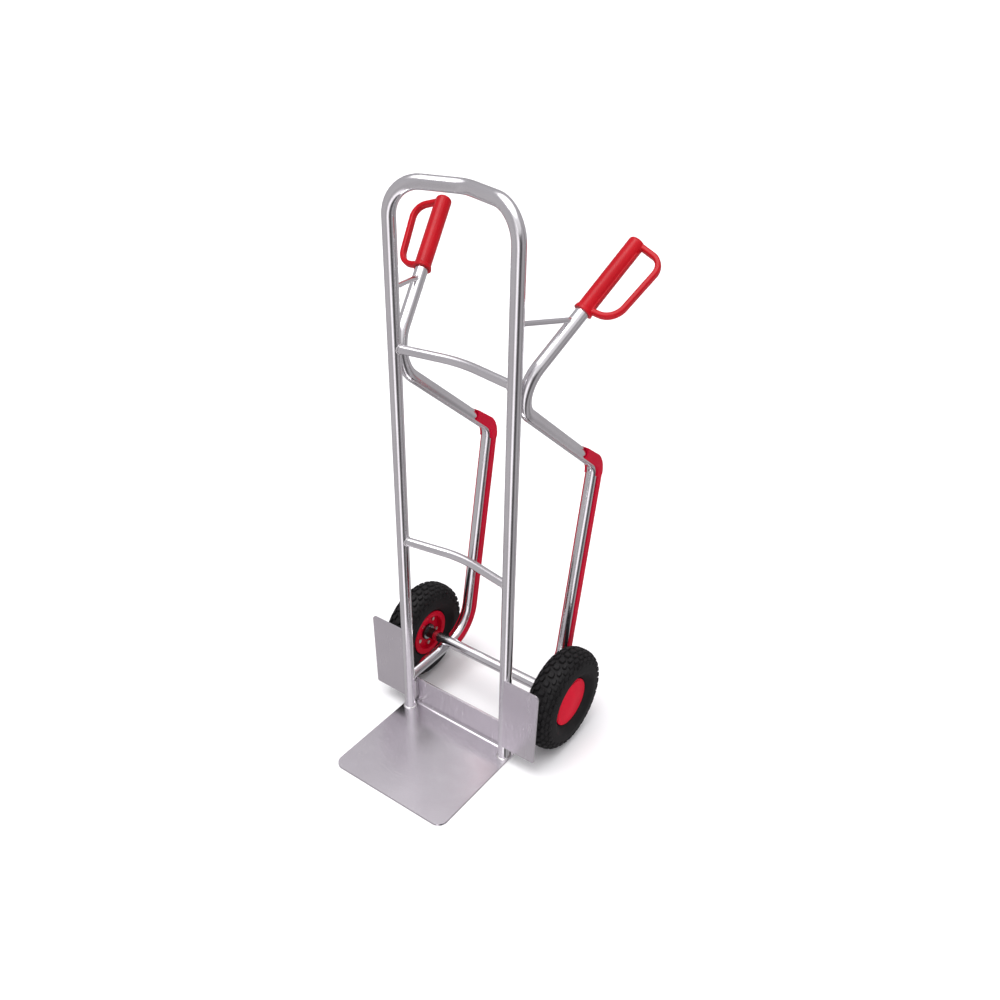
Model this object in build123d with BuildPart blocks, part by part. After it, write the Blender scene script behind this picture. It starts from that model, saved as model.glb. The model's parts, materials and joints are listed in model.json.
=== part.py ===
from build123d import *
import math
import os

os.makedirs("parts", exist_ok=True)

# Hand truck. Millimetres. +X is to the right seen from the toe plate side, the toe plate
# reaches towards -Y, the skids are at +Y, +Z is up and z = 0 is the floor.

# ---- Overall sizes ----
leg_spacing = 294.0
loop_height = 1306.0
toe_reach = 266.0
wheel_diameter = 260.0
wheel_track = 432.0
axle_setback = 141.0

# ---- Tubes ----
tube_diameter = 28.0
tube_wall = 2.0
loop_corner_radius = 66.0
loop_bow = 45.0
loop_bow_radius = 55.0
upper_crossbar_diameter = 19.0
upper_crossbar_drop = 327.0
upper_crossbar_height = loop_height - upper_crossbar_drop
lower_crossbar_diameter = 20.0
lower_crossbar_height = 515.0
crossbar_wall = 2.0
crossbar_bow = 26.0
crossbar_bow_radius = 250.0
brace_diameter = 10.0
brace_drop = 205.0
brace_height = loop_height - brace_drop
brace_reach = 0.515
weld_bite = 0.6
weld_fit = 0.02

# ---- Rear tubes: heights and set-backs of the bends, measured from the leg plane ----
joint_drop = 353.5
joint_height = loop_height - joint_drop
joint_bend_radius = 71.5
upper_bend_setback = 325.5
upper_bend_drop = 284.0
upper_bend_height = joint_height - upper_bend_drop
upper_bend_radius = 45.0
lower_bend_setback = 235.5
lower_bend_radius = 90.0
handle_spread = 83.5
handle_end_x = leg_spacing / 2 + handle_spread
handle_end_setback = 272.0
handle_end_drop = 110.0
handle_end_height = loop_height - handle_end_drop

# ---- Toe plate and wheel guards ----
sheet_thickness = 5.0
toe_side_reach = 16.0
toe_width = leg_spacing + 2 * toe_side_reach
toe_corner_radius = 24.0
toe_tab_reach = 22.0
upstand_gap = 7.0
upstand_setback = tube_diameter / 2 + upstand_gap
upstand_height = 85.5
upstand_side_reach = 4.0
upstand_width = leg_spacing + 2 * upstand_side_reach
upstand_bend_radius = 8.0
relief_width = 2.0
toe_edge_round = 1.0
guard_thickness = 4.0
guard_recess = 0.5
guard_face_depth = tube_diameter / 2 - guard_recess
guard_width_top = 98.0
guard_width_foot = 94.0
guard_foot_height = 48.0
guard_top_height = 258.0
guard_top_radius = 10.0
guard_foot_radius = 5.0

# ---- Axle set ----
axle_diameter = 20.0
axle_end_reach = 23.0
axle_half_length = wheel_track / 2 + axle_end_reach
axle_tube_wall = 3.5
axle_tube_diameter = axle_diameter + 2 * axle_tube_wall
axle_tube_overhang = 28.0
axle_tube_half_length = leg_spacing / 2 + axle_tube_overhang
collar_wall = 3.4
collar_diameter = axle_diameter + 2 * collar_wall
collar_nose_length = 1.5
collar_nose_wall = 2.5
collar_nose_diameter = axle_diameter + 2 * collar_nose_wall
washer_wall = 3.0
washer_diameter = axle_diameter + 2 * washer_wall
washer_thickness = 2.5
split_pin_diameter = 4.0
split_pin_length = 30.0
split_pin_eye = 5.0
split_pin_gap = 3.0
axle_end_chamfer = 1.5
shaft_fit = 0.05
seat_fit = 0.1

# ---- Wheels ----
rim_lip_radius = 61.0
rim_half_width = 26.0
rim_lip_thickness = 4.0
rim_barrel_radius = 50.0
rim_wall = 4.0
rim_web = 5.0
rim_split = -10.0
rim_edge_round = 1.4
hub_edge_round = 1.0
hub_inner_reach = 21.0
hub_outer_reach = 13.0
bearing_ring = 8.5
bearing_radius = axle_diameter / 2 + bearing_ring
bearing_width = 9.0
race_thickness = 3.0
hub_wall = 3.0
hub_radius = bearing_radius + hub_wall
hub_bore_radius = bearing_radius - race_thickness
ball_radius = 2.3
ball_count = 12
ball_gap = 0.3
rim_bolt_count = 5
rim_bolt_circle = 36.0
rim_bolt_phase = 36.0
rim_bolt_diameter = 6.0
rim_bolt_hole_gap = 0.2
bolt_head_radius = 5.6
bolt_head_height = 4.0
nut_height = 5.0
cap_radius = 57.0
cap_thickness = 2.4
cap_dome = 3.2
cap_skirt_depth = 12.0
cap_centre_radius = 6.0
cap_dome_share = 0.85
tyre_section_width = 78.0
tyre_bulge_depth = 42.0
tyre_bulge_radius = wheel_diameter / 2 - tyre_bulge_depth
tyre_shoulder_depth = 22.0
tyre_shoulder_radius = wheel_diameter / 2 - tyre_shoulder_depth
tyre_shoulder_width = 72.0
tyre_edge_depth = 3.2
tyre_edge_radius = wheel_diameter / 2 - tyre_edge_depth
tyre_edge_width = 40.0
tyre_turn_depth = 11.4
tyre_turn_radius = wheel_diameter / 2 - tyre_turn_depth
tyre_turn_width = 61.0
cavity_radius = 33.4
bead_gap_half = 14.0
tread_depth = 3.5
tread_groove_width = 4.0
tread_row_half_width = 10.0
tread_count = 36
tread_slot_width = 5.0
tube_gap = 0.4
inner_tube_wall = 2.0
valve_diameter = 7.0
valve_hole_gap = 0.2
valve_along = 8.0
valve_tip_radius = 36.0
valve_cap_diameter = 9.0
valve_cap_length = 9.0
valve_cap_overlap = 4.0
valve_angle = 0.0

# ---- Grips ----
grip_length = 168.0
grip_wall = 3.0
grip_diameter = tube_diameter + 2 * grip_wall
grip_end_wall = 6.0
grip_end_round = 7.0
collar_flare_wall = 3.0
collar_flare_diameter = grip_diameter + 2 * collar_flare_wall
collar_flare_length = 8.0
collar_flare_taper = 12.0
guard_band = 11.0
guard_depth = 15.0
guard_low_start = 9.0
guard_low_reach = 61.2
guard_low_rise = 15.0
guard_high_reach = 70.2
guard_high_rise = 154.0
guard_end_rise = 161.5
guard_low_bend = 38.0
guard_high_bend = 28.0
guard_tilt = 6.4
guard_root = 6.0
grip_rib_width = 3.0
grip_rib_reach = 18.8
grip_rib_margin = 12.0
grip_rib_turn = -15.0

# ---- Skids ----
skid_wall = 3.2
skid_back = 4.5
skid_wrap = 3.5
skid_corner_radius = 7.0
skid_cap_extra = 2.0
skid_cap_lip = 8.0
skid_cap_length = 92.0
skid_end_share = 0.8
scallop_radius = 17.0
scallop_shift = 9.0
skid_cap_skin = 0.8

# ---- Derived sizes ----
leg_x = leg_spacing / 2
tube_radius = tube_diameter / 2
leg_cut_radius = tube_radius + weld_fit
axle_z = wheel_diameter / 2
wheel_x = wheel_track / 2
lower_run_z = axle_z - tube_radius - axle_tube_diameter / 2 + weld_bite


def bend_start(joint_setback):
    """Nearest that the joint bend's centre line comes to the leg plane."""
    ends = [
        (handle_end_x, handle_end_setback, handle_end_height),
        (leg_x, joint_setback, joint_height),
        (leg_x, upper_bend_setback, upper_bend_height),
    ]
    with BuildLine() as trial:
        FilletPolyline(*ends, radius=joint_bend_radius)
    return trial.line.bounding_box().min.Y


# The joint bend just bites into the back of the leg, so its corner is found by repeating.
joint_setback = 0.0
for repeat in range(6):
    joint_setback += tube_diameter - weld_bite - bend_start(joint_setback)

with BuildLine(Plane.YZ) as rear_outline:
    FilletPolyline(
        (joint_setback, joint_height),
        (upper_bend_setback, upper_bend_height),
        (lower_bend_setback, lower_run_z),
        (0, lower_run_z),
        radius=[upper_bend_radius, lower_bend_radius],
    )
rear_reach = rear_outline.line.bounding_box().max.Y + tube_radius + skid_back + skid_cap_extra

# The origin lies midway between the toe plate's front edge and the skids' back.
leg_y = (toe_reach - rear_reach) / 2


def at(x, setback, z):
    """Point from its x, its distance behind the leg plane and its height."""
    return Vector(x, leg_y + setback, z)


def rod(start, end, radius):
    """Plain round bar between two points, used as a cutter."""
    line = end - start
    return extrude(Plane(origin=start, z_dir=line) * Circle(radius), line.length)


left_leg_bar = rod(at(-leg_x, 0, 0), at(-leg_x, 0, loop_height), leg_cut_radius)
right_leg_bar = rod(at(leg_x, 0, 0), at(leg_x, 0, loop_height), leg_cut_radius)
axle_tube_bar = rod(
    at(-axle_tube_half_length, axle_setback, axle_z),
    at(axle_tube_half_length, axle_setback, axle_z),
    axle_tube_diameter / 2,
)

# ---- Toe plate: flat load plate folded up between the legs ----
upstand_back = upstand_setback + sheet_thickness
fold_line = upstand_setback - upstand_bend_radius
with BuildPart() as toe_plate:
    with BuildSketch(Plane.XY):
        with Locations(at(0, (fold_line - toe_reach) / 2, 0)):
            flat = Rectangle(toe_width, toe_reach + fold_line)
        fillet(flat.vertices().group_by(Axis.Y)[0], toe_corner_radius)
        tab_width = (toe_width - upstand_width) / 2 - relief_width
        tab_x = (toe_width - tab_width) / 2
        with Locations(
            at(-tab_x, (fold_line + toe_tab_reach) / 2, 0),
            at(tab_x, (fold_line + toe_tab_reach) / 2, 0),
        ):
            Rectangle(tab_width, toe_tab_reach - fold_line)
    extrude(amount=sheet_thickness)
    with BuildSketch(Plane.YZ) as fold:
        with BuildLine():
            Polyline(
                (leg_y + fold_line, 0),
                (leg_y + upstand_back, 0),
                (leg_y + upstand_back, upstand_height),
                (leg_y + upstand_setback, upstand_height),
                (leg_y + upstand_setback, sheet_thickness),
                (leg_y + fold_line, sheet_thickness),
                close=True,
            )
        make_face()
        with Locations((leg_y + fold_line, sheet_thickness)):
            Rectangle(upstand_bend_radius, upstand_bend_radius, align=(Align.MIN, Align.MIN))
        with Locations((leg_y + fold_line, sheet_thickness + upstand_bend_radius)):
            Circle(upstand_bend_radius, mode=Mode.SUBTRACT)
        foot = fold.vertices().sort_by_distance((leg_y + upstand_back, 0))[0]
        fillet(foot, upstand_bend_radius + sheet_thickness)
    extrude(amount=upstand_width / 2, both=True)
    front_edges = toe_plate.edges().group_by(Axis.Z)[-1].filter_by(Axis.X)
    fillet(front_edges, toe_edge_round)
toe_plate.part.label = "toe_plate"
export_step(toe_plate.part, "parts/toe_plate.step")

# ---- Front loop: both legs and the bowed top bar in one bent tube ----
loop_corners = [
    at(-leg_x, 0, sheet_thickness),
    at(-leg_x, 0, loop_height),
    at(0, loop_bow, loop_height),
    at(leg_x, 0, loop_height),
    at(leg_x, 0, sheet_thickness),
]
with BuildPart() as front_loop:
    with BuildLine():
        FilletPolyline(
            *loop_corners,
            radius=[loop_corner_radius, loop_bow_radius, loop_corner_radius],
        )
    with BuildSketch(Plane(origin=loop_corners[0], z_dir=(0, 0, 1))):
        Circle(tube_radius)
        Circle(tube_radius - tube_wall, mode=Mode.SUBTRACT)
    sweep()
    add(toe_plate.part, mode=Mode.SUBTRACT)
front_loop.part.label = "front_loop"
export_step(front_loop.part, "parts/front_loop.step")


def crossbar(height, diameter):
    """Bowed tube between the legs, its ends shaped to fit them."""
    with BuildPart() as bar:
        with BuildLine() as bow:
            FilletPolyline(
                at(-leg_x, 0, height),
                at(0, crossbar_bow, height),
                at(leg_x, 0, height),
                radius=crossbar_bow_radius,
            )
        with BuildSketch(Plane(origin=bow.line @ 0, z_dir=bow.line % 0)):
            Circle(diameter / 2)
            Circle(diameter / 2 - crossbar_wall, mode=Mode.SUBTRACT)
        sweep()
        add(left_leg_bar, mode=Mode.SUBTRACT)
        add(right_leg_bar, mode=Mode.SUBTRACT)
        trimmed = bar.solids().sort_by(SortBy.VOLUME)[-1]
        add(trimmed, mode=Mode.REPLACE)
    return bar.part


upper_crossbar = crossbar(upper_crossbar_height, upper_crossbar_diameter)
upper_crossbar.label = "upper_crossbar"
export_step(upper_crossbar, "parts/upper_crossbar.step")
lower_crossbar = crossbar(lower_crossbar_height, lower_crossbar_diameter)
lower_crossbar.label = "lower_crossbar"
export_step(lower_crossbar, "parts/lower_crossbar.step")

# ---- Right rear tube: handle, joint bend, run to the upper bend, long run, lower run ----
handle_end = at(handle_end_x, handle_end_setback, handle_end_height)
joint_corner = at(leg_x, joint_setback, joint_height)
handle_line = handle_end - joint_corner
handle_dir = handle_line.normalized()
tube_end = handle_end - handle_dir * grip_end_wall
rear_corners = [
    tube_end,
    joint_corner,
    at(leg_x, upper_bend_setback, upper_bend_height),
    at(leg_x, lower_bend_setback, lower_run_z),
    at(leg_x, 0, lower_run_z),
]
with BuildPart() as right_rear_tube:
    with BuildLine() as rear_path:
        FilletPolyline(
            *rear_corners,
            radius=[joint_bend_radius, upper_bend_radius, lower_bend_radius],
        )
    with BuildSketch(Plane(origin=rear_path.line @ 0, z_dir=rear_path.line % 0)):
        Circle(tube_radius)
        Circle(tube_radius - tube_wall, mode=Mode.SUBTRACT)
    sweep()
    add(right_leg_bar, mode=Mode.SUBTRACT)
    add(axle_tube_bar, mode=Mode.SUBTRACT)
    trimmed_tube = right_rear_tube.solids().sort_by(SortBy.VOLUME)[-1]
    add(trimmed_tube, mode=Mode.REPLACE)

# ---- Right handle brace: thin rod from the leg back to the handle ----
brace_end = joint_corner + handle_line * brace_reach
handle_bar = rod(joint_corner, handle_end, tube_radius)
with BuildPart() as right_handle_brace:
    brace_start = at(leg_x, 0, brace_height)
    brace_line = brace_end - brace_start
    with BuildSketch(Plane(origin=brace_start, z_dir=brace_line)):
        Circle(brace_diameter / 2)
    extrude(amount=brace_line.length)
    add(right_leg_bar, mode=Mode.SUBTRACT)
    add(handle_bar, mode=Mode.SUBTRACT)
    trimmed_brace = right_handle_brace.solids().sort_by(SortBy.VOLUME)[-1]
    add(trimmed_brace, mode=Mode.REPLACE)

# ---- Right wheel guard: flat plate welded to the leg in front of the wheel ----
with BuildPart() as right_wheel_guard:
    with BuildSketch(Plane.XZ.offset(-leg_y)) as guard_face:
        with BuildLine():
            Polyline(
                (leg_x, guard_foot_height),
                (leg_x + guard_width_foot, guard_foot_height),
                (leg_x + guard_width_top, guard_top_height),
                (leg_x, guard_top_height),
                close=True,
            )
        make_face()
        outer_corners = guard_face.vertices().group_by(Axis.X)
        fillet(outer_corners[-1], guard_top_radius)
        low_spot = (leg_x + guard_width_foot, guard_foot_height)
        low_corner = guard_face.vertices().sort_by_distance(low_spot)[0]
        fillet(low_corner, guard_foot_radius)
    extrude(amount=guard_face_depth)
    with BuildSketch(Plane.XZ.offset(-leg_y)):
        with Locations((leg_x, axle_z)):
            Rectangle(wheel_track, wheel_diameter * 2)
    extrude(amount=guard_face_depth - guard_thickness, mode=Mode.SUBTRACT)
    add(right_leg_bar, mode=Mode.SUBTRACT)
    trimmed_guard = right_wheel_guard.solids().sort_by(SortBy.VOLUME)[-1]
    add(trimmed_guard, mode=Mode.REPLACE)

# ---- Axle tube and axle ----
with BuildPart() as axle_tube:
    with BuildSketch(Plane(origin=at(0, axle_setback, axle_z), z_dir=(1, 0, 0))):
        Circle(axle_tube_diameter / 2)
        Circle(axle_diameter / 2 + shaft_fit, mode=Mode.SUBTRACT)
    extrude(amount=axle_tube_half_length, both=True)
axle_tube.part.label = "axle_tube"
export_step(axle_tube.part, "parts/axle_tube.step")

hub_inner_face = wheel_x - hub_inner_reach
hub_outer_face = wheel_x + hub_outer_reach
washer_face = hub_outer_face + washer_thickness
split_pin_x = washer_face + split_pin_gap
with BuildPart() as axle:
    with BuildSketch(Plane(origin=at(0, axle_setback, axle_z), z_dir=(1, 0, 0))):
        Circle(axle_diameter / 2)
    extrude(amount=axle_half_length, both=True)
    chamfer(axle.edges().filter_by(GeomType.CIRCLE), axle_end_chamfer)
    with Locations(
        Location(at(split_pin_x, axle_setback, axle_z)),
        Location(at(-split_pin_x, axle_setback, axle_z)),
    ):
        Cylinder(
            split_pin_diameter / 2 + shaft_fit,
            axle_diameter * 2,
            mode=Mode.SUBTRACT,
        )
axle.part.label = "axle"
export_step(axle.part, "parts/axle.step")


def axle_ring(start, end, outer, inner):
    """Ring around the axle between two x positions."""
    ring_plane = Plane(origin=at(start, axle_setback, axle_z), z_dir=(1, 0, 0))
    return extrude(ring_plane * (Circle(outer) - Circle(inner)), end - start)


# ---- Right side of the axle set: collar, bearing sleeve, washer, split pin ----
axle_bore = axle_diameter / 2 + shaft_fit
collar_step = hub_inner_face - collar_nose_length
right_axle_collar = axle_ring(
    axle_tube_half_length, collar_step, collar_diameter / 2, axle_bore
) + axle_ring(collar_step, hub_inner_face, collar_nose_diameter / 2, axle_bore)
right_bearing_sleeve = axle_ring(
    hub_inner_face + bearing_width,
    hub_outer_face - bearing_width,
    collar_nose_diameter / 2,
    axle_bore,
)
right_outer_washer = axle_ring(hub_outer_face, washer_face, washer_diameter / 2, axle_bore)

with BuildPart() as right_split_pin:
    with Locations(at(split_pin_x, axle_setback, axle_z)):
        Cylinder(split_pin_diameter / 2, split_pin_length)
    eye_z = axle_z + split_pin_length / 2 + split_pin_eye - split_pin_diameter / 4
    with BuildSketch(Plane(origin=at(split_pin_x, axle_setback, eye_z), z_dir=(0, 1, 0))):
        with Locations((split_pin_eye - split_pin_diameter / 4, 0)):
            Circle(split_pin_diameter / 4)
    revolve(axis=Axis(at(split_pin_x, axle_setback, eye_z), (0, 1, 0)))

# ---- Right wheel, turned about the axle line ----
wheel_plane = Plane(
    origin=at(wheel_x, axle_setback, axle_z), x_dir=(1, 0, 0), z_dir=(0, -1, 0)
)
wheel_axis = Axis(at(wheel_x, axle_setback, axle_z), (1, 0, 0))


def turned(corners, round_corners, round_radius):
    """Ring turned from a section given as (along the axle, radius) corners."""
    with BuildPart() as ring:
        with BuildSketch(wheel_plane) as section:
            with BuildLine():
                Polyline(*corners, close=True)
            make_face()
            for corner in round_corners:
                fillet(section.vertices().sort_by_distance(corner)[0], round_radius)
        revolve(axis=wheel_axis)
    return ring.part


barrel_inside = rim_barrel_radius - rim_wall
lip_inside = rim_half_width - rim_lip_thickness
rim_bolt_angles = [rim_bolt_phase + 360 / rim_bolt_count * i for i in range(rim_bolt_count)]


def around_axle(angle, radius, along):
    """Location on the wheel at an angle and radius, its Z pointing outwards along X."""
    face = Plane(origin=at(wheel_x + along, axle_setback, axle_z), z_dir=(1, 0, 0))
    return face.location * Rot(0, 0, angle) * Pos(radius, 0, 0)


def radial_bar(angle, along, inside, outside, radius):
    """Round bar pointing away from the axle, between two distances from it."""
    face = Plane(origin=at(wheel_x + along, axle_setback, axle_z), z_dir=(1, 0, 0))
    base = face.location * Rot(0, 0, angle) * Pos(inside, 0, 0) * Rot(0, 90, 0)
    bar_plane = Plane(base)
    return extrude(bar_plane * Circle(radius), outside - inside)


bolt_radius = rim_bolt_diameter / 2
bolt_hole_cutters = [
    around_axle(angle, rim_bolt_circle, rim_split) * Cylinder(bolt_radius + rim_bolt_hole_gap, rim_web * 2)
    for angle in rim_bolt_angles
]
valve_hole_cutter = radial_bar(
    valve_angle,
    valve_along,
    barrel_inside - rim_wall,
    rim_barrel_radius + rim_wall,
    valve_diameter / 2 + valve_hole_gap,
)


def rim_half(side):
    """One dished rim half; side is -1 towards the frame and +1 away from it."""
    corners = [
        (rim_split, hub_radius),
        (rim_split + side * rim_web, hub_radius),
        (rim_split + side * rim_web, barrel_inside),
        (side * rim_half_width, barrel_inside),
        (side * rim_half_width, rim_lip_radius),
        (side * lip_inside, rim_lip_radius),
        (side * lip_inside, rim_barrel_radius),
        (rim_split, rim_barrel_radius),
    ]
    rounded = [
        (side * rim_half_width, rim_lip_radius),
        (side * lip_inside, rim_lip_radius),
        (side * rim_half_width, barrel_inside),
    ]
    return turned(corners, rounded, rim_edge_round)


right_rim_inner_half = rim_half(-1) - bolt_hole_cutters
right_rim_outer_half = rim_half(1) - bolt_hole_cutters - valve_hole_cutter

# The hub runs through both rim halves and has a bearing seat at each end.
hub_corners = [
    (-hub_inner_reach, bearing_radius),
    (-hub_inner_reach, hub_radius),
    (hub_outer_reach, hub_radius),
    (hub_outer_reach, bearing_radius),
    (hub_outer_reach - bearing_width, bearing_radius),
    (hub_outer_reach - bearing_width, hub_bore_radius),
    (bearing_width - hub_inner_reach, hub_bore_radius),
    (bearing_width - hub_inner_reach, bearing_radius),
]
right_hub = turned(hub_corners, hub_corners[1:3], hub_edge_round)


def hex_ring(along, height, bore):
    """Hexagons on the bolt circle, with or without a bore."""
    shapes = []
    for angle in rim_bolt_angles:
        spot = Plane(around_axle(angle, rim_bolt_circle, along))
        outline = RegularPolygon(bolt_head_radius, 6)
        if bore > 0:
            outline = outline - Circle(bore)
        shapes.append(extrude(spot * outline, height))
    return shapes


# Each rim bolt is one solid: a hexagon head on the frame side and its shank.
shank_length = rim_web * 2 + nut_height + bolt_radius
rim_bolt_solids = []
bolt_heads = hex_ring(rim_split - rim_web - bolt_head_height, bolt_head_height, 0)
for angle, head in zip(rim_bolt_angles, bolt_heads):
    shank_plane = Plane(around_axle(angle, rim_bolt_circle, rim_split - rim_web))
    rim_bolt_solids.append((head + extrude(shank_plane * Circle(bolt_radius), shank_length)).solid())
right_rim_bolts = Compound(children=rim_bolt_solids)
rim_nuts = hex_ring(rim_split + rim_web, nut_height, bolt_radius + shaft_fit)
right_rim_nuts = Compound(children=[nut.solid() for nut in rim_nuts])


def bearing(start):
    """Outer race, inner race and balls of a bearing whose inner end is at start."""
    middle = start + bearing_width / 2
    inner_race_radius = axle_diameter / 2 + race_thickness
    outer_race_radius = bearing_radius - race_thickness
    pitch = (inner_race_radius + outer_race_radius) / 2
    ends = [start, start + bearing_width]
    outer = turned(
        [
            (ends[0], outer_race_radius),
            (ends[1], outer_race_radius),
            (ends[1], bearing_radius),
            (ends[0], bearing_radius),
        ],
        [],
        0,
    )
    inner = turned(
        [
            (ends[0], axle_bore),
            (ends[1], axle_bore),
            (ends[1], inner_race_radius),
            (ends[0], inner_race_radius),
        ],
        [],
        0,
    )
    track_plane = wheel_plane * Pos(middle, pitch, 0)
    outer = outer - revolve(track_plane * Circle(ball_radius), wheel_axis)
    inner = inner - revolve(track_plane * Circle(ball_radius + ball_gap), wheel_axis)
    balls = [
        around_axle(360 / ball_count * i, pitch, middle) * Sphere(ball_radius)
        for i in range(ball_count)
    ]
    return outer, inner, Compound(children=[ball.solid() for ball in balls])


right_inner_bearing = bearing(-hub_inner_reach)
right_outer_bearing = bearing(hub_outer_reach - bearing_width)

# The hub cap's flange rests on the rim lip and its skirt fits inside the rim barrel.
skirt_radius = barrel_inside - seat_fit
skirt_inside = skirt_radius - cap_thickness
skirt_end = rim_half_width - cap_skirt_depth
dome_outside = rim_half_width + cap_dome + cap_thickness / 2
dome_inside = dome_outside - cap_thickness
with BuildPart() as right_hub_cap:
    with BuildSketch(wheel_plane):
        with BuildLine():
            Polyline(
                (dome_outside, cap_centre_radius),
                (dome_outside, 0),
                (dome_inside, 0),
                (dome_inside, cap_centre_radius),
                (rim_half_width, skirt_inside),
                (skirt_end, skirt_inside),
                (skirt_end, skirt_radius),
                (rim_half_width, skirt_radius),
                (rim_half_width, cap_radius),
                (rim_half_width + cap_thickness / 2, cap_radius),
            )
            ThreePointArc(
                (rim_half_width + cap_thickness / 2, cap_radius),
                (rim_half_width + cap_thickness / 4 + cap_dome * cap_dome_share, cap_radius / 2),
                (dome_outside, cap_centre_radius),
            )
        make_face()
    revolve(axis=wheel_axis)

# ---- Right tyre: cross-section turned, then the tread blocks are cut ----
tyre_radius = wheel_diameter / 2
with BuildPart() as right_tyre:
    with BuildSketch(wheel_plane):
        with BuildLine():
            Line((-lip_inside, rim_barrel_radius), (lip_inside, rim_barrel_radius))
            for side in (-1, 1):
                bead_edge = (side * lip_inside, rim_lip_radius + seat_fit)
                shoulder = (side * tyre_shoulder_width / 2, tyre_shoulder_radius)
                crown_edge = (side * tyre_edge_width / 2, tyre_edge_radius)
                Line((side * lip_inside, rim_barrel_radius), bead_edge)
                ThreePointArc(
                    bead_edge, (side * tyre_section_width / 2, tyre_bulge_radius), shoulder
                )
                ThreePointArc(
                    shoulder, (side * tyre_turn_width / 2, tyre_turn_radius), crown_edge
                )
            ThreePointArc(
                (-tyre_edge_width / 2, tyre_edge_radius),
                (0, tyre_radius),
                (tyre_edge_width / 2, tyre_edge_radius),
            )
        make_face()
        with Locations((0, tyre_bulge_radius)):
            Circle(cavity_radius, mode=Mode.SUBTRACT)
        with Locations((0, rim_barrel_radius)):
            Rectangle(bead_gap_half * 2, bead_gap_half * 2, mode=Mode.SUBTRACT)
    revolve(axis=wheel_axis)
    with BuildSketch(wheel_plane):
        groove_x = tread_row_half_width + tread_groove_width / 2
        with Locations((-groove_x, tyre_radius), (groove_x, tyre_radius)):
            Rectangle(tread_groove_width, tread_depth * 2)
    revolve(axis=wheel_axis, mode=Mode.SUBTRACT)

# The shoulder slots lie along the chord from the middle row to the shoulder.
tread_step = 360 / tread_count
slot_run = tyre_shoulder_width / 2 - tread_row_half_width
slot_drop = tyre_radius - tyre_shoulder_radius
slot_angle = math.degrees(math.atan2(slot_drop, slot_run))
slot_length = math.hypot(slot_run, slot_drop)
tread_cutters = []
for i in range(tread_count):
    centre_spot = around_axle(tread_step * (i + 0.5), tyre_radius, 0)
    tread_cutters.append(
        centre_spot * Box(tread_depth * 2, tread_slot_width, tread_row_half_width * 2)
    )
    for side in (-1, 1):
        spot = around_axle(
            tread_step * i,
            tyre_radius - slot_drop / 2,
            side * (tread_row_half_width + slot_run / 2),
        )
        shoulder_slot = Box(
            slot_drop,
            tread_slot_width,
            slot_length,
            align=(Align.MIN, Align.CENTER, Align.CENTER),
        )
        tread_cutters.append(spot * Rot(0, -side * slot_angle, 0) * shoulder_slot)
right_tyre_solid = right_tyre.part - tread_cutters

# ---- Right inner tube and valve ----
with BuildPart() as right_inner_tube:
    with BuildSketch(wheel_plane):
        with Locations((0, tyre_bulge_radius)):
            Circle(cavity_radius - tube_gap)
            Circle(cavity_radius - tube_gap - inner_tube_wall, mode=Mode.SUBTRACT)
    revolve(axis=wheel_axis)

right_valve_stem = (
    radial_bar(valve_angle, valve_along, valve_tip_radius, tyre_bulge_radius, valve_diameter / 2)
    - revolve(
        wheel_plane
        * Pos(0, tyre_bulge_radius, 0)
        * Circle(cavity_radius - tube_gap),
        wheel_axis,
    )
).solids().sort_by(SortBy.VOLUME)[-1]
valve_cap_start = valve_tip_radius - valve_cap_length + valve_cap_overlap
right_valve_cap = radial_bar(
    valve_angle,
    valve_along,
    valve_cap_start,
    valve_tip_radius + valve_cap_overlap,
    valve_cap_diameter / 2,
) - radial_bar(
    valve_angle,
    valve_along,
    valve_tip_radius,
    valve_tip_radius + valve_cap_overlap,
    valve_diameter / 2,
)

# ---- Right grip: sleeve on the handle with a collar, a rib and a knuckle guard ----
guard_out = (Vector(1, 0, 0) - handle_dir * handle_dir.X).normalized()
grip_base = handle_end - handle_dir * grip_length
grip_plane = Plane(origin=grip_base, x_dir=guard_out, z_dir=handle_dir)
guard_side = guard_out.rotate(Axis((0, 0, 0), handle_dir), guard_tilt)
guard_plane = Plane(origin=grip_base, x_dir=guard_side, z_dir=guard_side.cross(handle_dir))
rib_side = guard_out.rotate(Axis((0, 0, 0), handle_dir), grip_rib_turn)
rib_plane = Plane(origin=grip_base, x_dir=rib_side, z_dir=rib_side.cross(handle_dir))
with BuildPart() as right_grip:
    with BuildSketch(grip_plane):
        Circle(grip_diameter / 2)
    extrude(amount=grip_length)
    fillet(right_grip.faces().sort_by(Axis(grip_base, handle_dir))[-1].edges(), grip_end_round)
    with BuildSketch(grip_plane) as flare:
        Circle(collar_flare_diameter / 2)
    extrude(amount=collar_flare_length, taper=collar_flare_taper)
    with BuildSketch(rib_plane):
        with BuildLine():
            Polyline(
                (0, grip_rib_margin),
                (grip_rib_reach, grip_rib_margin),
                (grip_rib_reach, grip_length - grip_rib_margin * 2),
                (0, grip_length - grip_rib_margin * 2),
                close=True,
            )
        make_face()
    extrude(amount=grip_rib_width / 2, both=True)
    with BuildLine(guard_plane) as band:
        FilletPolyline(
            (guard_root, guard_low_start),
            (guard_low_reach, guard_low_rise),
            (guard_high_reach, guard_high_rise),
            (guard_root, guard_end_rise),
            radius=[guard_low_bend, guard_high_bend],
        )
    with BuildSketch(
        Plane(origin=band.line @ 0, x_dir=guard_plane.z_dir, z_dir=band.line % 0)
    ):
        RectangleRounded(guard_depth, guard_band, guard_band / 3)
    sweep(path=band.line)
    with BuildSketch(grip_plane):
        Circle(tube_radius + shaft_fit)
    extrude(amount=grip_length - grip_end_wall, mode=Mode.SUBTRACT)

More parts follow.
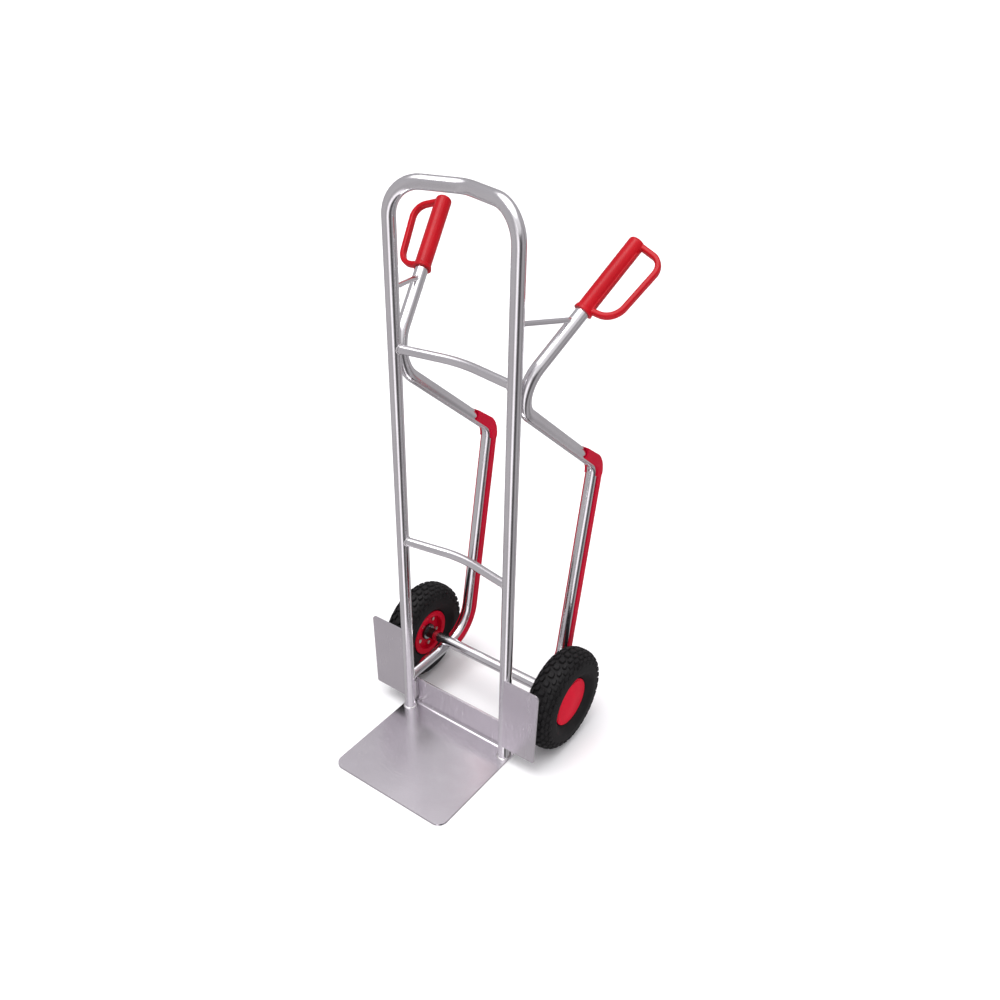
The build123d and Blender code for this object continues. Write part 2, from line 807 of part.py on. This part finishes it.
# ---- Right skid: channel clipped over the back of the rear tube ----
long_start = at(leg_x, upper_bend_setback, upper_bend_height)
joint_dir = (joint_corner - long_start).normalized()
cap_start = long_start + joint_dir * skid_cap_length
clip_radius = tube_radius + shaft_fit
skid_half = tube_radius + skid_wall
skid_depth = tube_radius + skid_back


def channel(path, depth, wrap):
    """Channel section, open towards the inside of the bends, swept along a path."""
    with BuildPart() as swept:
        section_plane = Plane(origin=path @ 0, x_dir=(1, 0, 0), z_dir=path % 0)
        with BuildSketch(section_plane):
            with Locations((0, (wrap - depth) / 2)):
                body = Rectangle(skid_half * 2, depth + wrap)
            fillet(body.vertices().group_by(Axis.Y)[0], skid_corner_radius)
            Circle(clip_radius, mode=Mode.SUBTRACT)
        sweep(path=path)
    return swept.part


with BuildLine() as skid_line:
    FilletPolyline(
        cap_start,
        rear_corners[2],
        rear_corners[3],
        rear_corners[4],
        radius=[upper_bend_radius, lower_bend_radius],
    )
slope_edge, bend_edge, long_edge, curl_edge = (
    skid_line.line.edges().sort_by(lambda edge: (edge @ 0.5 - cap_start).length)[:4]
)
curl_part = curl_edge.trim(0, skid_end_share)
cap_channel = channel(Wire([slope_edge, bend_edge]), skid_depth + skid_cap_extra, skid_cap_lip)
long_channel = channel(Wire([long_edge, curl_part]), skid_depth, skid_wrap)
right_skid = cap_channel + long_channel

# The cap's back thins from the bend to a skin at its upper end, which is scooped out.
cap_out = joint_dir.cross(Vector(1, 0, 0))
taper_start = cap_start + cap_out * (clip_radius + skid_cap_skin)
taper_end = long_start + cap_out * (skid_depth + skid_cap_extra)
taper_plane = Plane(
    origin=taper_start, x_dir=(1, 0, 0), z_dir=Vector(1, 0, 0).cross(taper_end - taper_start)
)
cap_taper = taper_plane * Box(
    skid_half * 4, skid_cap_length * 2, skid_depth * 2, align=(Align.CENTER, Align.CENTER, Align.MIN)
)
scallop_spot = cap_start + joint_dir * scallop_shift
scallop_bar = rod(
    scallop_spot - Vector(skid_half * 2, 0, 0),
    scallop_spot + Vector(skid_half * 2, 0, 0),
    scallop_radius,
)
right_skid = right_skid - cap_taper - scallop_bar

# ---- Both sides: the left pieces are mirror images of the right ones ----
handed = {
    "rear_tube": right_rear_tube.part,
    "handle_brace": right_handle_brace.part,
    "wheel_guard": right_wheel_guard.part,
    "axle_collar": right_axle_collar,
    "bearing_sleeve": right_bearing_sleeve,
    "outer_washer": right_outer_washer,
    "split_pin": right_split_pin.part,
    "hub": right_hub,
    "rim_inner_half": right_rim_inner_half,
    "rim_outer_half": right_rim_outer_half,
    "rim_bolts": right_rim_bolts,
    "rim_nuts": right_rim_nuts,
    "inner_bearing_outer_race": right_inner_bearing[0],
    "inner_bearing_inner_race": right_inner_bearing[1],
    "inner_bearing_balls": right_inner_bearing[2],
    "outer_bearing_outer_race": right_outer_bearing[0],
    "outer_bearing_inner_race": right_outer_bearing[1],
    "outer_bearing_balls": right_outer_bearing[2],
    "hub_cap": right_hub_cap.part,
    "tyre": right_tyre_solid,
    "inner_tube": right_inner_tube.part,
    "valve_stem": right_valve_stem,
    "valve_cap": right_valve_cap,
    "grip": right_grip.part,
    "skid": right_skid,
}
for name, shape in handed.items():
    shape.label = "right_" + name
    export_step(shape, "parts/right_" + name + ".step")
    other = mirror(shape, about=Plane.YZ)
    other.label = "left_" + name
    export_step(other, "parts/left_" + name + ".step")
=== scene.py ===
import json
import math

import bmesh
import bpy
import numpy as np
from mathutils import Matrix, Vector


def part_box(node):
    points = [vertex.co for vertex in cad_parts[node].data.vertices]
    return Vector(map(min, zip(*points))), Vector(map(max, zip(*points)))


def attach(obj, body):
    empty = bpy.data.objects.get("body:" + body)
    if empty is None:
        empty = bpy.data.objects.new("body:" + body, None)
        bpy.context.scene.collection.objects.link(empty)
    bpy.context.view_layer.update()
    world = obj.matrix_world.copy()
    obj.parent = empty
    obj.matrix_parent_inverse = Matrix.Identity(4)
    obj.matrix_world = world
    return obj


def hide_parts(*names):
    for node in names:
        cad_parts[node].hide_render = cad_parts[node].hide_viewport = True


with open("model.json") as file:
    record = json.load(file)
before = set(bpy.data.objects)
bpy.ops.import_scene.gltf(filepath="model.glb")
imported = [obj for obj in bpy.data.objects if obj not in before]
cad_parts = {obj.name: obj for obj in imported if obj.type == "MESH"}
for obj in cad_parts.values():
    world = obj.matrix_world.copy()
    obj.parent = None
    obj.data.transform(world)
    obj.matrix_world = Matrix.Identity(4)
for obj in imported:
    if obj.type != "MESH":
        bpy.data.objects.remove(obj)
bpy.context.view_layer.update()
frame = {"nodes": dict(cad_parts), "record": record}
nodes = frame["nodes"]
scene = bpy.context.scene
MM = 0.001
SIDES = (("left", -1), ("right", 1))


# ---------------------------------------------------------------- materials
class Look:
    """A node material under construction, with short calls for the nodes it uses."""

    def __init__(self, name):
        self.mat = bpy.data.materials.new(name)
        self.mat.use_nodes = True
        self.tree = self.mat.node_tree
        self.shader = self.tree.nodes["Principled BSDF"]
        self.coords = self.tree.nodes.new("ShaderNodeTexCoord")

    def set(self, **values):
        for key, value in values.items():
            self.shader.inputs[key.replace("_", " ")].default_value = value
        return self

    def link(self, source, target):
        self.tree.links.new(source, target)

    def noise(self, scale, detail=4.0, roughness=0.55, stretch=(1, 1, 1)):
        mapping = self.tree.nodes.new("ShaderNodeMapping")
        mapping.inputs["Scale"].default_value = stretch
        self.link(self.coords.outputs["Object"], mapping.inputs["Vector"])
        texture = self.tree.nodes.new("ShaderNodeTexNoise")
        texture.inputs["Scale"].default_value = scale
        texture.inputs["Detail"].default_value = detail
        texture.inputs["Roughness"].default_value = roughness
        self.link(mapping.outputs["Vector"], texture.inputs["Vector"])
        return texture.outputs["Fac"]

    def span(self, source, low, high, start=0.3, end=0.7):
        node = self.tree.nodes.new("ShaderNodeMapRange")
        node.inputs["From Min"].default_value = start
        node.inputs["From Max"].default_value = end
        node.inputs["To Min"].default_value = low
        node.inputs["To Max"].default_value = high
        self.link(source, node.inputs["Value"])
        return node.outputs["Result"]

    def ramp(self, source, stops):
        node = self.tree.nodes.new("ShaderNodeValToRGB")
        ramp = node.color_ramp
        while len(ramp.elements) < len(stops):
            ramp.elements.new(0.5)
        for element, (place, colour) in zip(ramp.elements, stops):
            element.position = place
            element.color = (*colour, 1)
        self.link(source, node.inputs["Fac"])
        return node.outputs["Color"]

    def bump(self, height, strength, distance, under=None):
        node = self.tree.nodes.new("ShaderNodeBump")
        node.inputs["Strength"].default_value = strength
        node.inputs["Distance"].default_value = distance
        self.link(height, node.inputs["Height"])
        if under is not None:
            self.link(under, node.inputs["Normal"])
        return node.outputs["Normal"]

    def base(self, colour):
        self.link(colour, self.shader.inputs["Base Color"])

    def rough(self, value):
        self.link(value, self.shader.inputs["Roughness"])

    def normal(self, value):
        self.link(value, self.shader.inputs["Normal"])


def shade(colour, factor):
    return tuple(c * factor for c in colour)


def metal(name, colour, rough_low, rough_high, grain_scale, stretch, depth):
    """Bare metal: slow colour drift, and a drawn or ground grain in gloss and relief."""
    look = Look(name).set(Metallic=1.0)
    drift = look.noise(7.0, 3.0)
    look.base(look.ramp(drift, [(0.35, shade(colour, 0.92)), (0.65, colour)]))
    grain = look.noise(grain_scale, 4.0, 0.6, stretch)
    look.rough(look.span(grain, rough_low, rough_high))
    look.normal(look.bump(grain, 0.12, depth))
    return look.mat


def moulded(name, colour, gloss, rough_low, rough_high, pebble):
    """Moulded or sprayed plastic: fine pebble, soft waves and slight tone drift."""
    look = Look(name).set(Specular_IOR_Level=gloss)
    drift = look.noise(12.0, 3.0)
    look.base(look.ramp(drift, [(0.3, shade(colour, 0.84)), (0.7, colour)]))
    grain = look.noise(pebble, 3.0, 0.5)
    look.rough(look.span(grain, rough_low, rough_high))
    waves = look.noise(20.0, 2.0)
    look.normal(look.bump(grain, 0.25, 0.00012, look.bump(waves, 0.12, 0.0006)))
    return look.mat


def rubber(name, colour, rough_low, rough_high):
    """Black rubber with a little dust and a fine moulding grain."""
    look = Look(name).set(Specular_IOR_Level=0.25)
    dust = look.noise(34.0, 6.0, 0.65)
    pale = tuple(c * 1.8 + 0.003 for c in colour)
    look.base(look.ramp(dust, [(0.35, colour), (0.75, pale)]))
    grain = look.noise(800.0, 3.0)
    look.rough(look.span(dust, rough_low, rough_high))
    look.normal(look.bump(grain, 0.35, 0.0002))
    return look.mat


DRAWN = (1, 1, 0.06)
BRUSHED = (1, 1, 0.05)
EVEN = (1, 1, 1)
LOOKS = {
    "aluminium_tube": metal("aluminium_tube", (0.83, 0.815, 0.835), 0.12, 0.24, 420.0, DRAWN, 0.0001),
    "aluminium_sheet": metal("aluminium_sheet", (0.74, 0.705, 0.745), 0.20, 0.28, 300.0, BRUSHED, 0.0001),
    "axle_steel": metal("axle_steel", (0.42, 0.41, 0.40), 0.28, 0.45, 500.0, EVEN, 0.0001),
    "black_steel": metal("black_steel", (0.085, 0.08, 0.08), 0.3, 0.5, 400.0, EVEN, 0.0002),
    "zinc_steel": metal("zinc_steel", (0.72, 0.70, 0.64), 0.25, 0.4, 500.0, EVEN, 0.0001),
    "bearing_steel": metal("bearing_steel", (0.6, 0.6, 0.61), 0.12, 0.25, 600.0, EVEN, 0.00005),
    "red_rim": moulded("red_rim", (0.70, 0.002, 0.026), 0.05, 0.28, 0.38, 700.0),
    "red_grip": moulded("red_grip", (0.47, 0.005, 0.012), 0.16, 0.24, 0.34, 900.0),
    "red_skid": moulded("red_skid", (0.54, 0.002, 0.026), 0.05, 0.34, 0.46, 800.0),
    "black_plastic": moulded("black_plastic", (0.02, 0.02, 0.021), 0.3, 0.4, 0.55, 900.0),
    "tyre_rubber": rubber("tyre_rubber", (0.006, 0.0055, 0.006), 0.55, 0.72),
    "tube_rubber": rubber("tube_rubber", (0.012, 0.012, 0.012), 0.5, 0.65),
}
WELD_LOOK = metal("weld_bead", (0.72, 0.70, 0.71), 0.26, 0.42, 260.0, EVEN, 0.0003)
slot_of = {row["node"]: row["material_slot"] for row in frame["record"]["subparts"]}
for name, node in nodes.items():
    node.data.materials.clear()
    node.data.materials.append(LOOKS[slot_of[name]])


# ---------------------------------------------------------------- piece helpers
def add_piece(name, mesh, look, body, smooth_angle=40.0):
    piece = bpy.data.objects.new(name, mesh)
    scene.collection.objects.link(piece)
    mesh.materials.clear()
    mesh.materials.append(look)
    mesh.shade_smooth()
    if smooth_angle is not None:
        mesh.set_sharp_from_angle(angle=math.radians(smooth_angle))
    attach(piece, body)
    return piece


def mesh_from(name, points, faces):
    mesh = bpy.data.meshes.new(name)
    mesh.from_pydata([tuple(p) for p in points], [], faces)
    mesh.validate()
    build = bmesh.new()
    build.from_mesh(mesh)
    bmesh.ops.recalc_face_normals(build, faces=build.faces)
    build.to_mesh(mesh)
    build.free()
    return mesh


def node_points(name):
    mesh = nodes[name].data
    co = np.zeros(len(mesh.vertices) * 3)
    mesh.vertices.foreach_get("co", co)
    return co.reshape(-1, 3)


def straight_axis(points):
    """Middle and direction of a straight round bar from its surface points."""
    middle = points.mean(0)
    direction = np.linalg.svd(points - middle, full_matrices=False)[2][0]
    return middle, direction


# ---------------------------------------------------------------- tyres
TREAD_PITCHES = 34
TREAD_DEPTH = 6.0 * MM
BLOCK_FILL = 0.60
BLOCK_CHAMFER = 0.09
TREAD_ROWS = ((0.0, 0.12, 0.0), (0.31, 0.12, 0.5), (0.61, 0.115, 0.0), (0.89, 0.105, 0.5), (1.15, 0.095, 0.0))
BULGE_SHARE = 0.677
PROFILE_POWER = 2.5
RIM_GAP = 0.6 * MM


def build_tyre(side):
    low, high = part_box(side + "_tyre")
    rim_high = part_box(side + "_rim_outer_half")[1]
    centre = (low + high) / 2
    radius = (high.z - low.z) / 2
    half_width = (high.x - low.x) / 2
    bulge = radius * BULGE_SHARE
    bead = rim_high.z - centre.z + RIM_GAP

    def outer(a, sink=0.0):
        """Tyre outline (across, radius) at an angle from the crown, sunk by some depth."""
        power = 2 / PROFILE_POWER
        sine, cosine = math.sin(a), max(math.cos(a), 0.0)
        across = math.copysign(abs(sine) ** power, sine) * (half_width - sink * 0.25)
        return across, bulge + cosine**power * (radius - sink - bulge)

    def place(across, distance, angle):
        return (
            centre.x + across,
            centre.y + distance * math.cos(angle),
            centre.z + distance * math.sin(angle),
        )

    # The casing: crown between the blocks, then sidewalls with moulded rings.
    section = []
    lip_x = half_width * 0.56
    for i in range(12):
        t = i / 12
        swell = math.sin(t * math.pi / 2)
        across = lip_x + (half_width - 1.0 * MM - lip_x) * swell
        distance = bead + (bulge - bead) * t
        ring = 0.7 * MM if i in (2, 3, 7, 8) else 0.0
        section.append((across + ring * 0.6, distance))
    steps = 30
    for i in range(steps + 1):
        a = math.pi / 2 * (1 - i / steps)
        section.append(outer(a, TREAD_DEPTH))
    section = section + [(-x, r) for x, r in reversed(section[:-1])]
    inner_lip = [(-lip_x + 3 * MM, bead - 3 * MM), (lip_x - 3 * MM, bead - 3 * MM)]
    section = section + inner_lip
    turns = 160
    points, faces = [], []
    count = len(section)
    for j in range(turns):
        for across, distance in section:
            points.append(place(across, distance, 2 * math.pi * j / turns))
    for j in range(turns):
        for i in range(count):
            here, there = j * count, (j + 1) % turns * count
            k = (i + 1) % count
            faces.append((here + i, here + k, there + k, there + i))

    # The tread: chamfered blocks in staggered rows, cut back at their corners.
    pitch = 2 * math.pi / TREAD_PITCHES

    def add_block(a0, a1, t0, t1, skew):
        start = len(points)
        corner = 0.22
        outline = (
            (corner, 0), (1 - corner, 0), (1, corner), (1, 1 - corner),
            (1 - corner, 1), (corner, 1), (0, 1 - corner), (0, corner),
        )
        for level, inset in ((1.25, -0.10), (0.22, 0.0), (0.0, BLOCK_CHAMFER)):
            for u, v in outline:
                u = inset + u * (1 - 2 * inset)
                v = inset + v * (1 - 2 * inset)
                a = a0 + (a1 - a0) * u
                t = t0 + (t1 - t0) * v + skew * (u - 0.5)
                across, distance = outer(a, TREAD_DEPTH * level)
                points.append(place(across, distance, t))
        size = len(outline)
        for level in range(2):
            for i in range(size):
                k = (i + 1) % size
                low_ring, high_ring = start + level * size, start + (level + 1) * size
                faces.append((low_ring + i, low_ring + k, high_ring + k, high_ring + i))
        faces.append(tuple(start + 2 * size + i for i in range(size)))

    for row, (angle, half, shift) in enumerate(TREAD_ROWS):
        for turn in (-1, 1) if row else (1,):
            for j in range(TREAD_PITCHES):
                middle = (j + shift + (0.25 if turn < 0 else 0.0)) * pitch
                fill = BLOCK_FILL * (1.12 if row == 4 and j % 2 else 1.0)
                reach = half * (1.3 if row == 4 and j % 2 else 1.0)
                a_mid = angle * turn
                add_block(
                    a_mid - reach,
                    a_mid + reach,
                    middle - pitch * fill / 2,
                    middle + pitch * fill / 2,
                    pitch * 0.10 * turn * (1 if row else 0.6),
                )
    name = side + "_tyre_treaded"
    look = LOOKS["tyre_rubber"]
    tyre = add_piece(name, mesh_from(name, points, faces), look, side + "_wheel", 35)
    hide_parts(side + "_tyre")


for side, sign in SIDES:
    build_tyre(side)


# ---------------------------------------------------------------- moulded grips and skids
def mould(node_name, voxel, passes, look):
    """Soft-edged moulding: the CAD solid remeshed finely and smoothed, so its joins run out."""
    mesh = nodes[node_name].data.copy()
    piece = bpy.data.objects.new(node_name + "_moulded", mesh)
    scene.collection.objects.link(piece)
    remesh = piece.modifiers.new("remesh", "REMESH")
    remesh.mode = "VOXEL"
    remesh.voxel_size = voxel
    remesh.use_smooth_shade = True
    soften = piece.modifiers.new("soften", "SMOOTH")
    soften.factor = 0.5
    soften.iterations = passes
    graph = bpy.context.evaluated_depsgraph_get()
    shaped = bpy.data.meshes.new_from_object(piece.evaluated_get(graph))
    shaped.name = node_name + "_moulded"
    bpy.data.objects.remove(piece)
    made = add_piece(node_name + "_moulded", shaped, look, "frame", None)
    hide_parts(node_name)


for side, sign in SIDES:
    mould(side + "_grip", 0.8 * MM, 3, LOOKS["red_grip"])
    mould(side + "_skid", 1.0 * MM, 4, LOOKS["red_skid"])

# ---------------------------------------------------------------- weld beads
loop_low, loop_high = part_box("front_loop")
tube_low, tube_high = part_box("axle_tube")
TUBE_RADIUS = 14 * MM
leg_x = loop_high.x - TUBE_RADIUS
leg_y = loop_low.y + TUBE_RADIUS
plate_top = loop_low.z
WELD_RADIUS = 2.1 * MM
# Cut tube ends lie just off the leg's own surface; the slack is the mesh's coarseness.
CUT_RADIUS = TUBE_RADIUS + 0.02 * MM
CUT_SLACK = 0.12 * MM
# Vertices of a cut tube end nearer the middle than this share belong to its bore.
OUTER_SHARE = 0.88
UPSTAND_GAP = 7 * MM
CROSSBAR_SLOPE = 0.17


def weld(name, path, radius=WELD_RADIUS, closed=True, flat=0.75):
    """Rippled bead along a path, a little flattened and uneven like hand welding."""
    path = [Vector(p) for p in path]
    count = len(path)
    sides = 10
    points, faces = [], []
    run = 0.0
    for i, spot in enumerate(path):
        ahead = path[(i + 1) % count] if closed or i + 1 < count else spot
        behind = path[i - 1] if closed or i else spot
        tangent = (ahead - behind).normalized()
        across = tangent.orthogonal().normalized()
        other = tangent.cross(across)
        run += (ahead - behind).length / 2
        ripple = 1 + 0.13 * math.sin(run / (1.9 * MM) * math.pi) + 0.07 * math.sin(run / (7.3 * MM))
        if not closed and i in (0, count - 1):
            ripple = 0.25
        for k in range(sides):
            turn = 2 * math.pi * k / sides
            offset = across * math.cos(turn) + other * math.sin(turn) * flat
            points.append(spot + offset * radius * ripple)
    rings = count if closed else count - 1
    for i in range(rings):
        here, there = i * sides, (i + 1) % count * sides
        for k in range(sides):
            m = (k + 1) % sides
            faces.append((here + k, here + m, there + m, there + k))
    if not closed:
        faces.append(tuple(range(sides)))
        faces.append(tuple((count - 1) * sides + k for k in reversed(range(sides))))
    mesh = mesh_from(name, points, faces)
    return add_piece(name, mesh, WELD_LOOK, "frame", None)


def turn_about(spots, direction):
    """Places of spots seen along a direction, as (across, up), about their middle."""
    direction = np.array(direction, float) / np.linalg.norm(direction)
    helper = (0, 0, 1) if abs(direction[2]) < 0.9 else (0, 1, 0)
    across = np.cross(direction, helper)
    across /= np.linalg.norm(across)
    up = np.cross(across, direction)
    a, b = spots @ across, spots @ up
    return a - (a.min() + a.max()) / 2, b - (b.min() + b.max()) / 2


def ring_line(spots, angles, steps):
    """Closed line through spots at known angles, resampled at even angles."""
    order = np.argsort(angles)
    turns = np.linspace(-math.pi, math.pi, steps, endpoint=False)
    full_turn = 2 * math.pi
    columns = [np.interp(turns, angles[order], spots[order, k], period=full_turn) for k in range(3)]
    return np.stack(columns, 1)


def end_line(spots, direction, steps=72):
    """Closed line through the outer edge of a cut tube end, evenly spaced round its direction."""
    a, b = turn_about(spots, direction)
    reach = np.hypot(a, b)
    outer = reach > reach.max() * OUTER_SHARE
    return ring_line(spots[outer], np.arctan2(b[outer], a[outer]), steps)


def bite_line(spots, direction, steps=64):
    """Closed line round the patch where one tube bites into another."""
    a, b = turn_about(spots, direction)
    return ring_line(spots, np.arctan2(b / (np.ptp(b) or 1), a / (np.ptp(a) or 1)), steps)


for side, sign in SIDES:
    axis_x = sign * leg_x

    def on_leg(spots):
        """Vertices of a piece that lie on the cut made by this side's leg."""
        gap = np.hypot(spots[:, 0] - axis_x, spots[:, 1] - leg_y) - CUT_RADIUS
        return spots[np.abs(gap) < CUT_SLACK]

    foot = [
        (
            axis_x + (TUBE_RADIUS + 0.3 * MM) * math.cos(2 * math.pi * i / 80),
            leg_y + (TUBE_RADIUS + 0.3 * MM) * math.sin(2 * math.pi * i / 80),
            plate_top + 0.4 * MM,
        )
        for i in range(80)
    ]
    weld(side + "_foot_weld", foot, 2.6 * MM)
    for bar in ("upper_crossbar", "lower_crossbar"):
        weld(side + "_" + bar + "_weld", end_line(on_leg(node_points(bar)), (sign, -CROSSBAR_SLOPE, 0)))

    # The brace is a straight rod, so all its vertices are at its two ends.
    brace = node_points(side + "_handle_brace")
    brace_middle, brace_dir = straight_axis(brace)
    if brace_dir[1] < 0:
        brace_dir = -brace_dir
    along = (brace - brace_middle) @ brace_dir
    weld(side + "_brace_leg_weld", end_line(brace[along < 0], brace_dir, 48), 1.6 * MM)
    weld(side + "_brace_handle_weld", end_line(brace[along > 0], brace_dir, 48), 1.6 * MM)

    # The rear tube: its foot on the leg, its joint bend on the leg, and the axle tube on it.
    rear = node_points(side + "_rear_tube")
    rear_on_leg = on_leg(rear)
    low_cut = rear_on_leg[rear_on_leg[:, 2] < loop_high.z * 0.3]
    weld(side + "_lower_run_weld", end_line(low_cut, (0, -1, 0)), 2.3 * MM)
    joint_cut = rear_on_leg[rear_on_leg[:, 2] > loop_high.z * 0.5]
    weld(side + "_joint_weld", bite_line(joint_cut, (0, -1, 0)), 2.2 * MM)
    axle_y, axle_z = (tube_low.y + tube_high.y) / 2, (tube_low.z + tube_high.z) / 2
    axle_gap = np.hypot(rear[:, 1] - axle_y, rear[:, 2] - axle_z) - (tube_high.z - tube_low.z) / 2
    weld(side + "_axle_tube_weld", bite_line(rear[np.abs(axle_gap) < CUT_SLACK], (0, 0, 1)), 2.0 * MM)

    # The wheel guard, welded along the back of its edge on the leg.
    guard_low, guard_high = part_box(side + "_wheel_guard")
    guard_cut = on_leg(node_points(side + "_wheel_guard"))
    guard_back = guard_cut[:, 1].max()
    guard_edge = np.abs(guard_cut[guard_cut[:, 1] > guard_back - 0.2 * MM][:, 0]).mean()
    for k, share in enumerate((0.08, 0.68)):
        start = guard_low.z + (guard_high.z - guard_low.z) * share
        seam = [(sign * guard_edge, guard_back, start + i * 1.1 * MM) for i in range(46)]
        weld(side + "_guard_weld_" + str(k), seam, 2.0 * MM, False)

    # The toe plate's upstand, joined to the back of the leg.
    upstand_front = leg_y + TUBE_RADIUS + UPSTAND_GAP
    seam = [
        (sign * (leg_x - 3 * MM), upstand_front - 3.4 * MM, plate_top + (13 + i * 1.45) * MM)
        for i in range(41)
    ]
    weld(side + "_upstand_weld", seam, 4.2 * MM, False)

# ---------------------------------------------------------------- camera, floor, light
camera_data = bpy.data.cameras.new("camera")
camera = bpy.data.objects.new("camera", camera_data)
scene.collection.objects.link(camera)
camera_data.sensor_width = 36.0
camera_data.lens = 36.39
camera_data.shift_x = 0.0341
camera_data.shift_y = 0.0729
camera_data.clip_end = 200.0
yaw, pitch = math.radians(37.3), math.radians(36.0)
ahead = Vector(
    (-math.sin(yaw) * math.cos(pitch), math.cos(yaw) * math.cos(pitch), -math.sin(pitch))
)
camera.location = (1.1187, leg_y - 1.4255, 1.8037)
camera.rotation_mode = "QUATERNION"
camera.rotation_quaternion = ahead.to_track_quat("-Z", "Y")
scene.camera = camera

floor_mesh = bpy.data.meshes.new("floor")
build = bmesh.new()
bmesh.ops.create_grid(build, x_segments=8, y_segments=8, size=60.0)
build.to_mesh(floor_mesh)
build.free()
floor = bpy.data.objects.new("floor", floor_mesh)
scene.collection.objects.link(floor)
floor.location = (0, 0, -0.0006)
floor.visible_glossy = False
floor_look = Look("floor").set(Roughness=0.85, Specular_IOR_Level=0.05)
FLOOR_TONES = [(0.3, (0.90, 0.90, 0.905)), (0.7, (0.915, 0.915, 0.92))]
floor_look.base(floor_look.ramp(floor_look.noise(3.0), FLOOR_TONES))
floor_mesh.materials.append(floor_look.mat)


def sun(name, direction, strength, angle):
    data = bpy.data.lights.new(name, "SUN")
    data.energy = strength
    data.angle = math.radians(angle)
    light = bpy.data.objects.new(name, data)
    light.rotation_mode = "QUATERNION"
    light.rotation_quaternion = Vector(direction).to_track_quat("-Z", "Y")
    scene.collection.objects.link(light)


sun("key", (0.10, 0.22, -1.0), 1.45, 34)
sun("fill", (-0.7, 0.45, -0.9), 0.45, 70)

# The studio: bright overhead, with upright pale and dark screens seen in the bare metal.
# Each screen is (place round the compass from 0 to 1, brightness).
SCREENS = (
    (0.00, 0.42), (0.14, 0.34), (0.22, 0.46), (0.34, 0.50), (0.43, 0.52), (0.51, 0.42), (0.545, 1.25),
    (0.595, 1.35), (0.618, 0.42), (0.650, 0.08), (0.705, 0.09), (0.735, 0.36), (0.80, 0.44), (0.86, 0.22),
    (0.90, 0.46), (1.00, 0.42),
)
WALL = (0.47, 0.458, 0.48, 1)
CEILING = (1.75, 1.72, 1.76, 1)
BACKDROP = (1.0, 1.0, 1.0, 1)
world = bpy.data.worlds.new("studio")
scene.world = world
world.use_nodes = True
tree = world.node_tree
background = tree.nodes["Background"]


def blend(factor, below, above):
    """Colour mix in the world: a node's colour below, a fixed colour above."""
    node = tree.nodes.new("ShaderNodeMix")
    node.data_type = "RGBA"
    tree.links.new(factor, node.inputs["Factor"])
    colours = [socket for socket in node.inputs if socket.type == "RGBA"]
    tree.links.new(below, colours[0])
    colours[1].default_value = above
    return [socket for socket in node.outputs if socket.type == "RGBA"][0]


def rise(height, start, end):
    """Smooth step of the view height from 0 at start to 1 at end."""
    node = tree.nodes.new("ShaderNodeMapRange")
    node.interpolation_type = "SMOOTHSTEP"
    node.inputs["From Min"].default_value = start
    node.inputs["From Max"].default_value = end
    tree.links.new(height, node.inputs["Value"])
    return node.outputs["Result"]


direction = tree.nodes.new("ShaderNodeTexCoord")
split = tree.nodes.new("ShaderNodeSeparateXYZ")
tree.links.new(direction.outputs["Generated"], split.inputs["Vector"])
bearing = tree.nodes.new("ShaderNodeMath")
bearing.operation = "ARCTAN2"
tree.links.new(split.outputs["X"], bearing.inputs[0])
flip = tree.nodes.new("ShaderNodeMath")
flip.operation = "MULTIPLY"
flip.inputs[1].default_value = -1.0
tree.links.new(split.outputs["Y"], flip.inputs[0])
tree.links.new(flip.outputs[0], bearing.inputs[1])
turn_range = tree.nodes.new("ShaderNodeMapRange")
turn_range.inputs["From Min"].default_value = -math.pi
turn_range.inputs["From Max"].default_value = math.pi
tree.links.new(bearing.outputs[0], turn_range.inputs["Value"])
screens = tree.nodes.new("ShaderNodeValToRGB")
tree.links.new(turn_range.outputs["Result"], screens.inputs["Fac"])
ramp = screens.color_ramp
while len(ramp.elements) < len(SCREENS):
    ramp.elements.new(0.5)
for element, (place, level) in zip(ramp.elements, SCREENS):
    element.position = place
    element.color = (level, level * 0.965, level, 1)
height = split.outputs["Z"]
walls = blend(rise(height, -0.15, 0.75), screens.outputs["Color"], WALL)
lit = blend(rise(height, 0.73, 0.87), walls, CEILING)
seen = tree.nodes.new("ShaderNodeLightPath")
shown = blend(seen.outputs["Is Camera Ray"], lit, BACKDROP)
tree.links.new(shown, background.inputs["Color"])
background.inputs["Strength"].default_value = 1.0
scene.view_settings.view_transform = "Standard"
